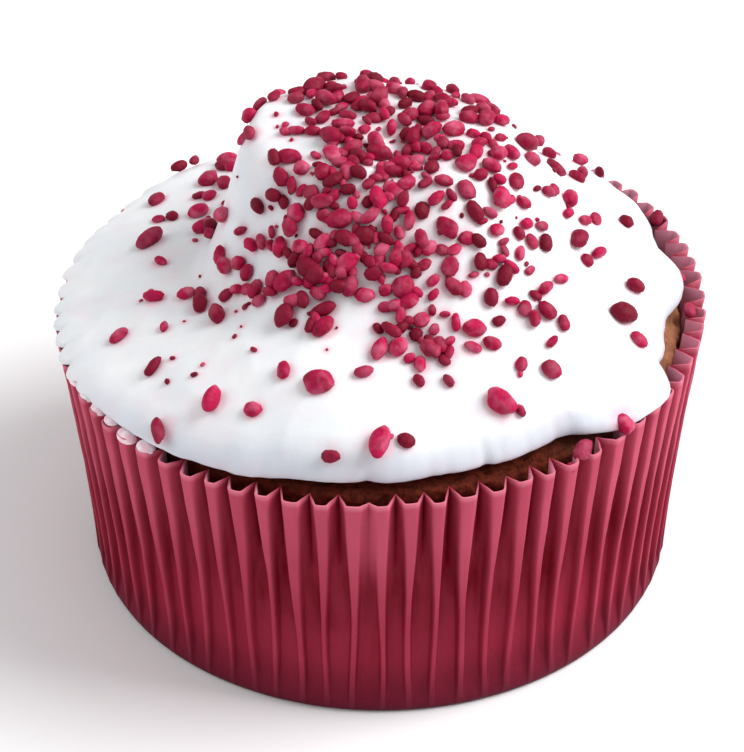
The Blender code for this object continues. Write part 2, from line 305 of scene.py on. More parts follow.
def grow(name, tree, sizes, start=None):
    """Runs a recipe on a start mesh, or on nothing, and keeps the result as a plain mesh."""
    obj = link_object(name, start or bpy.data.meshes.new(name))
    recipe = obj.modifiers.new(tree.name, "NODES")
    recipe.node_group = tree
    for item in tree.interface.items_tree:
        if item.in_out == "INPUT" and item.name in sizes:
            recipe[item.identifier] = sizes[item.name]
    settle(obj)
    return obj


def end_recipe(tree, shape, material, output):
    """Makes real faces of all that was placed, gives them their material and sends them out."""
    shape = add_node(tree, "GeometryNodeRealizeInstances", {0: shape.outputs[0]})
    shape = add_node(tree, "GeometryNodeSetMaterial", {"Geometry": shape.outputs[0], "Material": material})
    feed(output.inputs["Geometry"], shape.outputs[0])
    return tree


def triangles(obj):
    return sum(len(face.vertices) - 2 for face in obj.data.polygons)


def box_mm(obj):
    """The width, depth and height of a piece in millimetres."""
    points = np.array([vertex.co for vertex in obj.data.vertices]) / MM
    return [round(float(value), 2) for value in np.ptp(points, axis=0)]


print("recipe sockets:", sorted(SOCKET_KINDS.values()))

# %% [markdown]
# ## Finishes
#
# A finish is a shader tree of its own. Colours are mixed from noise patterns
# that are fixed to the piece by its Object coordinates, so a pattern stays put
# when the camera moves. What is the same all over, such as a sheen or a coat,
# is set straight on the shader's socket.

# %% Helpers for finishes
def new_finish(name, **constants):
    """A material with a Principled shader, and the sockets that are the same all over it."""
    finish = bpy.data.materials.new(name)
    finish.use_nodes = True
    shader = finish.node_tree.nodes["Principled BSDF"]
    for label, value in constants.items():
        shader.inputs[label.replace("_", " ")].default_value = value
    return finish, finish.node_tree, shader


def grain(tree, size, detail=2.0, stretch=(1, 1, 1), roughness=0.5):
    """Noise from 0 to 1 whose grains are about this size in metres."""
    place = add_node(tree, "ShaderNodeTexCoord").outputs["Object"]
    place = add_node(tree, "ShaderNodeMapping", {"Vector": place, "Scale": stretch}).outputs[0]
    inputs = {"Vector": place, "Scale": 1 / size, "Detail": detail, "Roughness": roughness}
    return Wire(add_node(tree, "ShaderNodeTexNoise", inputs).outputs[0])


def painted(tree, name):
    """An attribute of the mesh, as a wire."""
    return Wire(add_node(tree, "ShaderNodeAttribute", attribute_name=name).outputs["Fac"])


def between(tree, share, first, second):
    """A colour between two: each is a tuple of red, green and blue, or a socket."""
    node = add_node(tree, "ShaderNodeMix", data_type="RGBA")
    feed(node.inputs[0], share)
    for place, colour in ((6, first), (7, second)):
        feed(node.inputs[place], (*colour, 1) if isinstance(colour, tuple) else colour)
    return node.outputs[2]


def bumped(tree, shader, height, distance, strength=1.0):
    """Presses a height pattern into the shader's surface, distance metres deep."""
    bump = add_node(tree, "ShaderNodeBump", {"Height": height, "Distance": distance, "Strength": strength})
    feed(shader.inputs["Normal"], bump.outputs[0])


print("finish helpers ready")

# %% [markdown]
# ## The paper case
#
# The case is one disc of greaseproof paper, pressed between two fluted moulds.
# Its floor stays flat, and its wall is thrown into 72 pleats. Low on the wall
# a pleat is a narrow rib between wide flat valleys. Higher up the paper fans
# out, and at the rim each pleat is a broad rounded panel with a sharp fold on
# either side. That follows a rule, so a recipe can draw it: a flat grid is
# rolled round, with one direction as the way round and the other as the way
# up. Close to the foot the mould presses the pleats flat, so the muffin stands
# on a smooth round edge.
#
# A pleat's place depends only on its number. A sum of two sines of that number
# stands in for chance, so the pleats differ a little and stand where the CAD
# solid has them, which uses the same rule. Each pleat also starts to fan out at
# a height of its own, and one fold at the front is pressed almost flat at the
# rim.

# %% Sizes of the paper case
CASE_SIZES = {
    "Pleats": 72,
    "Steps in a pleat": 20,
    "Rings in the floor": 3,
    "Rings in all": 32,
    "Rim radius": 34.0 * MM,
    "Base radius": 31.0 * MM,
    "Floor radius": 29.4 * MM,
    "Height": 29.7 * MM,
    "Rim tilt": 1.2 * MM,
    "Foot height": 0.25 * MM,
    "Foot round": 0.5 * MM,
    "Foot share": 0.05,
    "Fade share": 0.16,
    "Depth at base": 0.5 * MM,
    "Depth at rim": 2.0 * MM,
    "Crest at base": 0.13,
    "Crest at rim": 0.45,
    "Flank": 0.13,
    "Fan height": 0.46,
    "Flare": 1.4,
    "Pressed fold": 53.5,
    "Roundness": 0.8,
    "Wrinkle": 0.16 * MM,
}
PLEATS = CASE_SIZES["Pleats"]
CREST_END, FLANK_END = 4, 8  # steps from the middle of a pleat
print(f"pleat pitch at the rim: {2 * math.pi * CASE_SIZES['Rim radius'] / MM / PLEATS:.2f} mm")


# %% Rules for one pleat
PRESSED_WIDTH, PRESSED_FLAT = 0.6, 0.7  # pleats to either side of the pressed fold, and how flat it is


def uneven(number, first, second):
    """A value from -1 to 1 that differs from pleat to pleat, by a rule."""
    if isinstance(number, Wire):
        return 0.6 * (number * first).math("SINE") + 0.4 * (number * second).math("SINE")
    return 0.6 * np.sin(first * number) + 0.4 * np.sin(second * number)


def crest_middle(pleat, number, height):
    """Where a pleat's middle is, counted in pleats; number repeats after a full turn."""
    return pleat + 0.07 * uneven(number, 0.7, 1.3) + 0.11 * height * uneven(number, 1.1, 0.5)


def fold_share(number, pressed_fold, height):
    """How deep the fold after a pleat is; one fold is pressed flat at the rim."""
    away = (number + 0.5 - pressed_fold) / PRESSED_WIDTH
    pressed = (away * away * -1).math("EXPONENT") * (0.35 + 0.65 * ((height - 0.5) / 0.3).eased())
    return (1 + 0.15 * uneven(number, 1.7, 4.3)) * (1 - PRESSED_FLAT * pressed)


print("the middle of pleat 54 at the rim:", round(float(crest_middle(54, 54, 1.0)), 3))


# %% Recipe for the paper case
CLIMB = 1.25  # over 1, the rings lie closer together near the foot
SWAY, SWAY_WAVES = 0.08, 6  # how far a fold wanders, in pleats, and how quickly on its way up
START_SPREAD, CREST_SPREAD = 0.4, 0.24  # how much pleats differ in where they fan out and in width
PANEL_SQUARENESS = 3.2  # a higher power gives a flatter panel with sharper folds
WRINKLES_ROUND, WRINKLES_UP = 5.0, 3.2
MEAN_RUFFLE = 0.56
RIM_RIPPLE = 0.2 * MM  # how much the pleats differ in height
WELD = 0.003 * MM


def case_recipe(sizes, paper):
    tree, size, output = new_recipe("pleated_case", {**sizes, "Paper": paper})
    steps_round = size["Pleats"] * size["Steps in a pleat"]
    grid = add_node(tree, "GeometryNodeMeshGrid", {
        "Size X": 1.0, "Size Y": 1.0, "Vertices X": steps_round + 1, "Vertices Y": size["Rings in all"] + 1,
    })
    corner = add_node(tree, "GeometryNodeInputPosition").outputs[0]
    place = add_node(tree, "ShaderNodeSeparateXYZ", {0: corner})
    step = ((Wire(place.outputs["X"]) + 0.5) * steps_round).math("ROUND")
    ring = ((Wire(place.outputs["Y"]) + 0.5) * size["Rings in all"]).math("ROUND")

    # the way up: on the floor, or at a share of the height
    floor_rings = size["Rings in the floor"]
    on_wall = ring.math("GREATER_THAN", floor_rings + 0.5)
    foot = size["Foot height"] / size["Height"]
    climb = ((ring - floor_rings - 1) / (size["Rings in all"] - floor_rings - 1)).clamped() ** CLIMB
    height = (foot + (1 - foot) * climb) * on_wall

    # the way round: which pleat, and how far from its middle
    pleat = (step / size["Steps in a pleat"] + 0.0001).math("FLOOR")
    within = step - pleat * size["Steps in a pleat"]
    past_middle = within.math("GREATER_THAN", size["Steps in a pleat"] / 2)
    steps_off = within.towards(size["Steps in a pleat"] - within, past_middle)
    number, next_number = ((pleat + more).math("MODULO", size["Pleats"]) for more in (0, 1))
    sway, next_sway = (  # no fold runs quite straight
        SWAY * (height * SWAY_WAVES + n * 2.1).math("SINE") * (1 - height) for n in (number, next_number))
    middle = crest_middle(pleat, number, height) + sway
    next_middle = crest_middle(pleat + 1, next_number, height) + next_sway

    # each pleat starts to fan out at a height of its own
    start, next_start = (
        size["Fan height"] * (1 + START_SPREAD * uneven(n, 2.3, 0.8)) for n in (number, next_number))
    opening, next_opening = (((height - low) / (1 - low)).clamped() for low in (start, next_start))
    crest, next_crest = (
        0.5 * size["Crest at base"].towards(size["Crest at rim"], share)
        * (1 + CREST_SPREAD * uneven(n, 3.1, 0.9))
        for share, n in ((opening, number), (next_opening, next_number))
    )
    opened = opening.towards(next_opening, past_middle)

    # the valley's middle lies halfway between the ends of the two flanks
    valley = (middle + crest + next_middle - next_crest) * 0.5
    own_middle = middle.towards(next_middle, past_middle)
    own_crest = crest.towards(next_crest, past_middle)
    to_valley = (valley - own_middle).math("ABSOLUTE")
    on_crest = (steps_off / CREST_END).clamped()
    on_flank = ((steps_off - CREST_END) / (FLANK_END - CREST_END)).clamped()
    on_valley = ((steps_off - FLANK_END) / (size["Steps in a pleat"] / 2 - FLANK_END)).clamped()
    off = own_crest * on_crest + size["Flank"] * on_flank
    off = off + (to_valley - own_crest - size["Flank"]) * on_valley
    bearing = (own_middle + off * (1 - 2 * past_middle)) * (2 * math.pi) / size["Pleats"]

    # how far the paper is folded in: a flat-bottomed valley low down, a sharp fold at the rim
    rounded = (off / to_valley) ** PANEL_SQUARENESS
    fold = on_flank.eased().towards(rounded, opened * size["Roundness"])
    depth = size["Depth at base"].towards(size["Depth at rim"], height)
    depth = depth * (height / size["Fade share"]).eased()
    wall = size["Base radius"] + (size["Rim radius"] - size["Base radius"]) * height ** size["Flare"]
    wall = wall - size["Foot round"] * (1 - (height / size["Foot share"]).clamped()) ** 2
    deepness = fold_share(number, size["Pressed fold"], height)
    radius = wall - depth * deepness * fold

    # paper is never quite flat: a faint wrinkle, stronger towards the free rim
    across = add_node(tree, "ShaderNodeCombineXYZ", {0: bearing * WRINKLES_ROUND, 1: height * WRINKLES_UP})
    ruffle = Wire(add_node(tree, "ShaderNodeTexNoise", {
        "Vector": across.outputs[0], "Scale": 1.6, "Detail": 2.0,
    }).outputs[0])
    radius = radius + (ruffle - MEAN_RUFFLE) * size["Wrinkle"] * (0.4 + 2.0 * height)

    floor_radius = size["Floor radius"] * (ring / floor_rings)
    radius = floor_radius.towards(radius, on_wall)
    ripple = uneven(number, 2.9, 1.3).towards(
        uneven(next_number, 2.9, 1.3), (within / size["Steps in a pleat"]).eased())
    rim = size["Height"] + size["Rim tilt"] * bearing.math("COSINE")
    lift = height * rim + RIM_RIPPLE * height * ripple

    rolled = add_node(tree, "ShaderNodeCombineXYZ", {
        0: radius * bearing.math("COSINE"), 1: radius * bearing.math("SINE"), 2: lift,
    })
    # the rules read the flat grid, so what they say is stored before the grid is rolled
    shape = grid
    layers = (
        ("fold", fold * on_wall * deepness.clamped()),
        ("height_share", height),
        ("pleat_tone", 0.5 + 0.5 * uneven(number.towards(next_number, past_middle), 1.9, 0.6)),
    )
    for label, value in layers:
        shape = add_node(tree, "GeometryNodeStoreNamedAttribute", {
            "Geometry": shape.outputs[0], "Name": label, "Value": value,
        }, data_type="FLOAT", domain="POINT")
    shape = add_node(tree, "GeometryNodeSetPosition", {
        "Geometry": shape.outputs[0], "Position": rolled.outputs[0],
    })
    shape = add_node(tree, "GeometryNodeMergeByDistance", {
        "Geometry": shape.outputs[0], "Distance": WELD,
    })
    return end_recipe(tree, shape, size["Paper"], output)


# %% [markdown]
# ### Finish of the paper
#
# Dyed greaseproof paper is waxy. Down in the folds and along the flanks of
# the ribs the colour is painted dark: that is painted shade, and partly the dye
# seen through two or three layers. The crests are painted pale and rose-pink,
# more so towards the top: a painted highlight where the paper, stretched over
# the mould, catches the light. Near the foot the wall is painted darker as
# painted shade, and the rim's edge is paler, partly the cut edge and partly a
# painted highlight. The recipe stored how deep each point is folded and how
# high it is, so the colour can follow the pleats exactly. Upright streaks break
# up the valleys, and fine fibres run through the paper and roughen its gloss.
# The inside of the wall took less dye, so it has a paler finish of its own,
# also painted darker down in its folds as painted shade.

# %% Mix the paper's finish
# painted shade down in the folds and along the ribs' flanks
FOLD_SHADE_CRIMSON = (0.17, 0.0008, 0.009)
MID_CRIMSON = (0.32, 0.020, 0.049)
# a painted highlight on the crests, and also the colour of the pale fibres
ROSE = (0.50, 0.072, 0.126)
# painted shade towards the foot
FOOT_SHADE_PLUM = (0.060, 0.003, 0.013)
# the paler cut edge, with a painted highlight along it
CUT_EDGE_AND_HIGHLIGHT = (0.72, 0.20, 0.28)
INNER_ROSE = (0.92, 0.41, 0.54)


def dyed_paper(name, inside=False):
    finish, tree, shader = new_finish(name, Specular_IOR_Level=0.06)
    fold, height, tone = (painted(tree, layer) for layer in ("fold", "height_share", "pleat_tone"))
    fibres = grain(tree, 0.35 * MM, detail=4.0, stretch=(1, 1, 0.35))
    clouds = grain(tree, 5 * MM, detail=3.0)
    streaks = ((grain(tree, 1.5 * MM, detail=3.0, stretch=(1, 1, 0.14)) - 0.36) * 3.4).clamped()
    crest = (1 - fold).clamped()
    high = ((height - 0.34) / 0.60).eased()
    if inside:
        # inside: paler dye, painted darker down in the folds as painted shade
        colour = between(tree, 0.65 + 0.35 * crest, MID_CRIMSON, INNER_ROSE)
    else:
        # painted shade: darker in the folds of the upper wall, broken up by streaks
        fold_shade = ((height - 0.12 - 0.30 * clouds - 0.10 * tone) / 0.25).eased() * (fold ** 0.6).clamped()
        # painted shade: a dark line along the flanks of each rib
        flank = (fold * crest * 4).clamped() * (0.15 + 0.4 * tone + 0.35 * streaks)
        colour = between(tree, (fold_shade * (0.35 + 0.75 * streaks)).clamped(), MID_CRIMSON, FOLD_SHADE_CRIMSON)
        colour = between(tree, flank, colour, FOLD_SHADE_CRIMSON)
        # painted highlight: crests paler towards the top, where they catch the light
        crest_highlight = crest ** 1.6 * (0.27 + 0.73 * high) * (0.38 + 0.6 * clouds + 0.48 * tone)
        crest_highlight = crest_highlight * (1 - 0.45 * streaks * (1 - high))
        colour = between(tree, crest_highlight.clamped(), colour, ROSE)
        # painted shade: darker towards the foot
        colour = between(tree, (1 - height / 0.24).clamped() * 0.85, colour, FOOT_SHADE_PLUM)
        # the rim's edge paler on the crests: partly the cut edge, partly a painted highlight
        colour = between(tree, ((height - 0.975) / 0.02).clamped() * crest * 0.7, colour, CUT_EDGE_AND_HIGHLIGHT)
    colour = between(tree, ((fibres - 0.5) * 1.6).clamped() * 0.18, colour, ROSE)
    feed(shader.inputs["Base Color"], colour)
    feed(shader.inputs["Roughness"], 0.45 + 0.25 * fibres)
    bumped(tree, shader, fibres + clouds * 0.6, 0.05 * MM, 0.5)
    return finish


outer_paper = dyed_paper("crimson_paper")
inner_paper = dyed_paper("paler_inside", inside=True)
print("paper finishes:", outer_paper.name, inner_paper.name)

# %% Fold the case and give the paper its thickness
PAPER_THICKNESS = 0.16 * MM
SHARP_FOLD = math.radians(72)
FLOOR_ZONE = 2 * MM  # faces lower than this aren't counted as wall


def fold_case():
    tree = case_recipe(CASE_SIZES, outer_paper)
    case = grow("pleated_paper_case", tree, {**CASE_SIZES, "Paper": outer_paper})
    case.data.materials.append(inner_paper)
    walls = [face for face in case.data.polygons if face.center.z > FLOOR_ZONE]
    outwards = sum(Vector((face.center.x, face.center.y, 0)).dot(face.normal) > 0 for face in walls)
    print(f"{outwards / len(walls):.0%} of the wall's faces look outwards")
    thick = case.modifiers.new("thickness", "SOLIDIFY")
    thick.thickness = PAPER_THICKNESS
    thick.offset = -1
    thick.material_offset = 1
    settle(case)
    case.data.shade_smooth()
    case.data.set_sharp_from_angle(angle=SHARP_FOLD)
    return case


case = fold_case()
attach(case, "root")
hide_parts("paper_case")
print("paper case:", triangles(case), "triangles,", box_mm(case), "mm")

# %% [markdown]
# ## The cake
#
# Only a narrow band of cake shows, between the icing and the paper, but it is
# the one place where the crumb is seen: a torn, pitted, dark brown surface
# with a browner crust where it rose against the paper. The tan of the crust is
# painted mostly on the right, where the light falls, so it is partly painted
# light. The cake is a stack of rings round one axis. The rings lie close
# together in the band that shows and far apart where icing or paper hides
# them, so the fine relief costs few faces. The relief itself is noise: broad
# lumps, smaller crumbs, and pits where air bubbles opened.

# %% Rings into a closed skin
def around(marks, bearing):
    """The value at bearings in degrees, eased between the marks (bearing, value) that go round."""
    at, value = (np.array(column, dtype=float) for column in zip(*marks))
    at = np.concatenate([[at[-1] - 360], at, [at[0] + 360]])
    value = np.concatenate([[value[-1]], value, [value[0]]])
    bearing = np.mod(bearing, 360)
    place = np.clip(np.searchsorted(at, bearing) - 1, 0, len(at) - 2)
    return value[place] + (value[place + 1] - value[place]) * eased(at[place], at[place + 1], bearing)


def eased(start, end, value):
    """0 before start, 1 after end, and a smooth step between them."""
    share = np.clip((value - start) / (end - start), 0, 1)
    return share * share * (3 - 2 * share)


def hill(marks, value):
    """0 outside two pairs of marks, 1 between the pairs, and eased inside each pair."""
    rise, fall = marks
    return eased(*rise, value) * (1 - eased(*fall, value))


def skin(name, rings, bottom, top, finish):
    """A closed mesh through rings of points, listed from below to above, with a point at each end."""
    count = len(rings[0])
    points = np.concatenate([[bottom], *rings, [top]])
    faces = []
    after = np.roll(np.arange(count), -1)
    here = np.arange(count)
    for number in range(len(rings) - 1):
        low, high = 1 + number * count, 1 + (number + 1) * count
        faces.extend(np.stack([low + here, low + after, high + after, high + here], axis=1).tolist())
    last = len(points) - 1
    faces.extend([0, 1 + b, 1 + a] for a, b in zip(here.tolist(), after.tolist()))
    faces.extend([last, last - count + a, last - count + b] for a, b in zip(here.tolist(), after.tolist()))
    mesh = bpy.data.meshes.new(name)
    mesh.from_pydata(points.tolist(), [], faces)
    mesh.materials.append(finish)
    mesh.shade_smooth()
    return link_object(name, mesh)


print("mid-way between 10 and 20 on a ring:", float(around(((0, 10), (180, 20)), 90.0)))

# %% Finish of the crumb
DARK_CRUMB = (0.045, 0.006, 0.003)
WARM_CRUMB = (0.17, 0.026, 0.014)
TAN_CRUST_AND_LIGHT = (0.44, 0.19, 0.10)


def crumb_finish():
    finish, tree, shader = new_finish("dark_crumb", Roughness=0.85, Specular_IOR_Level=0.06)
    crumbs = grain(tree, 0.7 * MM, detail=6.0, roughness=0.65)
    patches = grain(tree, 5 * MM, detail=2.0)
    colour = between(tree, ((crumbs - 0.35) * 2.4).clamped(), DARK_CRUMB, WARM_CRUMB)
    crust = painted(tree, "crust")
    # tan crust, painted mostly on the lit right side: partly real crust, partly painted light
    colour = between(tree, (crust * (0.5 + patches)).clamped(), colour, TAN_CRUST_AND_LIGHT)
    feed(shader.inputs["Base Color"], colour)
    bumped(tree, shader, crumbs, 0.45 * MM, 1.0)
    return finish


dark_crumb = crumb_finish()
print("crumb finish:", dark_crumb.name)

# %% Bake the cake
CAKE_TOP_HEIGHT = 35.5 * MM
SHOULDER_HEIGHT = 29.3 * MM
SHOULDER_RADIUS = 30.2 * MM
CAKE_STEPS = 660
CAKE_BOTTOM = 0.6 * MM
CAKE_PROFILE_MM = (  # radius, height, share of the crumb relief
    (10.0, 0.6, 0), (20.0, 0.6, 0), (28.0, 0.6, 0), (29.2, 2.2, 0), (29.9, 9.0, 0), (30.5, 16.0, 0),
    (31.0, 23.0, 0),
)
WALL_START_MM, WALL_GROWTH_MM = (31.1, 24.0), (0.25, 4.2)  # radius and height
SHOULDER_MIDDLE_MM, SHOULDER_ROUND_MM = (30.45, 28.2), (0.9, 1.1)
DOME_RADII_MM = (30.2, 29.9, 29.6, 29.3, 29.0, 28.6, 28.2, 27.6, 26.8, 25.5, 22.0, 17.0, 10.0, 4.0)
DOME_ROUNDNESS = 2.2
CRUST_AND_LIGHT_MARKS = (-60, -22), (5, 25)  # bearings where the tan comes, and goes: kept to the lit right side, so partly painted light
CRUST_HEIGHTS_MM = (27.4, 28.9)
LUMPS_MM, CRUMBS_MM, PITS_MM = (3.2, 0.30), (0.9, 0.20), (1.5, 0.9)  # size across, and height or depth


def cake_top(radius):
    """Height of the cake's dome at a distance from the axis."""
    share = np.minimum(1.0, radius / SHOULDER_RADIUS)
    return SHOULDER_HEIGHT + (CAKE_TOP_HEIGHT - SHOULDER_HEIGHT) * (1 - share**DOME_ROUNDNESS)


def crumb_relief(point):
    """How far the crumb stands out at a point, in metres; it is negative in a pit."""
    lumps = noise.fractal(point / (LUMPS_MM[0] * MM), 1.0, 2.0, 3)
    crumbs = noise.fractal(point / (CRUMBS_MM[0] * MM), 0.9, 2.0, 3)
    pits = max(0.0, 0.42 - noise.voronoi(point / (PITS_MM[0] * MM))[0][0])
    return LUMPS_MM[1] * MM * lumps + CRUMBS_MM[1] * MM * crumbs - PITS_MM[1] * MM * pits


def bake_cake():
    profile = list(CAKE_PROFILE_MM)
    (start, low), (wider, higher) = WALL_START_MM, WALL_GROWTH_MM
    profile += [(start + wider * share, low + higher * share, share) for share in np.linspace(0.1, 1, 12)]
    (middle, level), (across, up) = SHOULDER_MIDDLE_MM, SHOULDER_ROUND_MM
    for share in np.linspace(0.08, 1, 14):
        turn = math.radians(90 * share)
        profile.append((middle + across * math.cos(turn), level + up * math.sin(turn), 1))
    for radius in DOME_RADII_MM:
        profile.append((radius, float(cake_top(radius * MM)) / MM, eased(25, 28, radius)))
    bearings = np.arange(CAKE_STEPS) * 2 * math.pi / CAKE_STEPS
    rounds = np.stack([np.cos(bearings), np.sin(bearings)], axis=1)
    rings, crust = [], [0.0]
    for radius, z, share in profile:
        ring = np.column_stack([radius * rounds, np.full(CAKE_STEPS, z)]) * MM
        outward = Vector((0, 1)) if radius < 30.3 and z > 29 else Vector((1, 0.25 if z > 28 else 0))
        for number, bearing in enumerate(bearings):
            relief = crumb_relief(Vector(ring[number])) * float(share) if share > 0 else 0.0
            ring[number, 0] += relief * outward.x * math.cos(bearing)
            ring[number, 1] += relief * outward.x * math.sin(bearing)
            ring[number, 2] += relief * outward.y
            side = math.degrees(math.remainder(bearing, 2 * math.pi))
            # the tan is kept to the right, where the light falls: partly painted light
            crust.append(float(eased(*CRUST_HEIGHTS_MM, z)) * (0.02 + 0.85 * float(hill(CRUST_AND_LIGHT_MARKS, side))))
        rings.append(ring)
    crust.append(0.0)
    cake = skin("dark_cake_crumb", rings, (0, 0, CAKE_BOTTOM), (0, 0, CAKE_TOP_HEIGHT), dark_crumb)
    layer = cake.data.attributes.new("crust", "FLOAT", "POINT")
    layer.data.foreach_set("value", crust)
    return cake


cake = bake_cake()
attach(cake, "root")
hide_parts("cake")
print("cake:", triangles(cake), "triangles,", box_mm(cake), "mm")

# %% [markdown]
# ## The icing
#
# Thick sugar icing is dropped on the cake with a spoon and pushed outwards. It
# keeps the marks of the spoon, stands in a heap in the middle with one steep
# side, and ends in a soft rounded lip. On the left there was too much of it,
# so it ran into the flutes of the case and over the rim. A cloth or fluid
# simulation would give a shape of its own liking, so the icing is drawn as
# rings round the axis, whose reach and height change with the bearing. The
# numbers repeat the CAD solid's. The height is then evened out a little round
# each point, as soft icing slumps, and broad waves of noise add the strokes of
# the spoon. Bearings run anticlockwise from +X, so 270 is the front.

# %% Sizes of the icing
ICING_REACH_MM = (
    (4, 32.0), (14, 30.6), (28, 31.6), (60, 31.5), (100, 31.9), (125, 32.6), (145, 33.0),
    (170, 33.7), (205, 33.8), (228, 33.2), (243, 32.5), (254, 31.6), (270, 31.2), (285, 30.6),
    (307, 30.4), (318, 31.7), (326, 32.4), (338, 30.9), (350, 29.9),
)
LIP_HEIGHT_MM = (
    (0, 30.8), (30, 31.1), (90, 30.4), (125, 29.8), (150, 29.6), (205, 29.5), (235, 29.9),
    (262, 30.6), (320, 30.9),
)
LIP_RISE_MM = ((0, 1.6), (90, 1.4), (130, 0.7), (205, 0.7), (240, 1.5), (300, 1.6))
LIP_DROP = 0.4 * MM
LIP_ROUND = 2.2 * MM
SLOPE_RISE_MM = ((0, 10.3), (100, 9.0), (135, 6.0), (170, 5.2), (200, 7.0), (235, 10.0), (290, 10.3))
DOME_RISE = 10.3 * MM
MOUND_RISE = 7.9 * MM
MOUND_CENTRE_MM = (0.0, 2.0)
MOUND_REACH_MM = (
    (0, 18.4), (45, 16.8), (90, 14.6), (135, 15.6), (165, 16.0), (190, 16.0), (225, 14.5),
    (270, 14.0), (315, 15.5),
)
MOUND_FALL_MM = (
    (0, 12), (45, 10), (90, 9), (125, 5), (150, 3.4), (172, 4), (200, 8), (235, 13), (270, 15),
    (315, 15),
)
SPOON_MARKS_MM = (
    (2.4, -1.4, 3.0, -3.0), (-12.0, 8.0, 4.0, 1.2), (-3.0, 10.5, 5.0, 0.9),
    (12.5, 7.0, 5.0, 0.6), (18.0, -14.0, 7.0, 0.9), (-8.0, -21.0, 8.0, 0.7),
)
SWIRL_HEIGHT = 0.22 * MM
print("widest reach of the icing:", max(reach for _, reach in ICING_REACH_MM), "mm")


# %% The icing's upper face
def icing_reach(bearing):
    return around(ICING_REACH_MM, bearing) * MM


def icing_top(x, y):
    """Height of the icing above the points (x, y), as the CAD solid has it."""
    bearing = np.degrees(np.arctan2(y, x))
    share = np.minimum(1.0, np.hypot(x, y) / icing_reach(bearing))
    edge = (around(LIP_HEIGHT_MM, bearing) + around(LIP_RISE_MM, bearing)) * MM
    slope = edge + around(SLOPE_RISE_MM, bearing) * MM * (1 - share**2)
    edge_right = (LIP_HEIGHT_MM[0][1] + LIP_RISE_MM[0][1]) * MM
    mound = edge_right + MOUND_RISE + DOME_RISE * (1 - share**2)
    from_x, from_y = x / MM - MOUND_CENTRE_MM[0], y / MM - MOUND_CENTRE_MM[1]
    side = np.degrees(np.arctan2(from_y, from_x))
    reach, fall = around(MOUND_REACH_MM, side), around(MOUND_FALL_MM, side)
    height = mound + (slope - mound) * eased(reach - fall / 2, reach + fall / 2, np.hypot(from_x, from_y))
    for mark_x, mark_y, radius, rise in SPOON_MARKS_MM:
        away = np.hypot(x / MM - mark_x, y / MM - mark_y) / radius
        height = height + rise * MM * np.exp(-(away**2))
    swirl = np.sin(3 * np.radians(bearing) + 7 * share) + np.sin(260 * x + 340 * y)
    return height + SWIRL_HEIGHT * swirl * share


BROAD_WAVE, FINE_WAVE = (8.0 * MM, 0.55 * MM), (3.0 * MM, 0.10 * MM)  # length and height
SLOW_WAVE = (BROAD_WAVE[0] * 1.4, 0.8 * BROAD_WAVE[1])
STROKE_BEND, BEND_LENGTH = 4 * MM, 14 * MM
MEAN_RIDGE = 0.22


def spoon_waves(x, y):
    """The strokes of the spoon: broad soft waves with a finer one over them."""
    waves = np.zeros(np.size(x))
    for number, (px, py) in enumerate(zip(np.ravel(x), np.ravel(y))):
        point = Vector((px, py, 0))
        drift = noise.noise(point / BEND_LENGTH) * STROKE_BEND
        stroke = Vector((px + drift, py - drift, 0))
        ridge = MEAN_RIDGE - abs(noise.noise(stroke / BROAD_WAVE[0] + Vector((3, 1, 0))))
        waves[number] = BROAD_WAVE[1] * ridge + SLOW_WAVE[1] * noise.noise(stroke / SLOW_WAVE[0])
        waves[number] += FINE_WAVE[1] * noise.noise(point / FINE_WAVE[0])
    return waves.reshape(np.shape(x))


SLUMP = 1.5 * MM  # how far round each point the icing evens itself out
STIFF_RIM = (0.72, 0.9)  # shares of the reach between which it stops slumping


def spooned_top(x, y):
    """The icing after it has slumped a little: corners are rounded, and the spoon's strokes show."""
    share = np.hypot(x, y) / icing_reach(np.degrees(np.arctan2(y, x)))
    slump = SLUMP * (1 - eased(*STIFF_RIM, share))
    around_it = np.linspace(0, 2 * math.pi, 8, endpoint=False)
    neighbours = [icing_top(x + slump * math.cos(turn), y + slump * math.sin(turn)) for turn in around_it]
    return (2 * icing_top(x, y) + sum(neighbours)) / 10 + spoon_waves(x, y)


print(f"top of the heap: {float(icing_top(0.0, 2.0 * MM)) / MM:.1f} mm")


# %% The icing's lip
LOBE_GROWTH_MM, LOBE_START_MM = 1.0, -0.45
LOBE_DROOP = 0.55 * MM
EDGE_WAVER_MM = 0.22
TUCKED_MM = 0.15  # how far the edge stays back behind the beads
NOTCHES = (  # bearing, millimetres deep, degrees wide
    (267.5, 0.3, 1.1), (290.0, 0.3, 1.2), (279.0, 0.12, 1.6), (307.5, 0.45, 3.0),
)
LAPPED_MM = 1.7  # how far it runs on to the paper at the right of the front
# pairs of bearings, in degrees, between which each of these comes and goes
OVER_THE_RIM = (128, 150), (196, 214)
BEHIND_THE_BEADS = (198, 216), (236, 248)
ON_THE_PAPER = (305, 318), (330, 338)


def lapping(bearing):
    """1 where the icing ran over the rim, on the left, and 0 elsewhere."""
    return hill(OVER_THE_RIM, np.mod(bearing, 360))


def flute_lobe(bearing):
    """1 in the middle of a pleat and 0 at the fold between two."""
    place = np.mod(bearing, 360) / 360 * PLEATS
    nearest = np.full(np.shape(place), 9.0)
    for more in (-1, 0, 1, 2):
        pleat = np.floor(place) + more
        nearest = np.minimum(nearest, np.abs(place - crest_middle(pleat, np.mod(pleat, PLEATS), 1.0)))
    return 1 - np.minimum(1, nearest / 0.5) ** 2.2


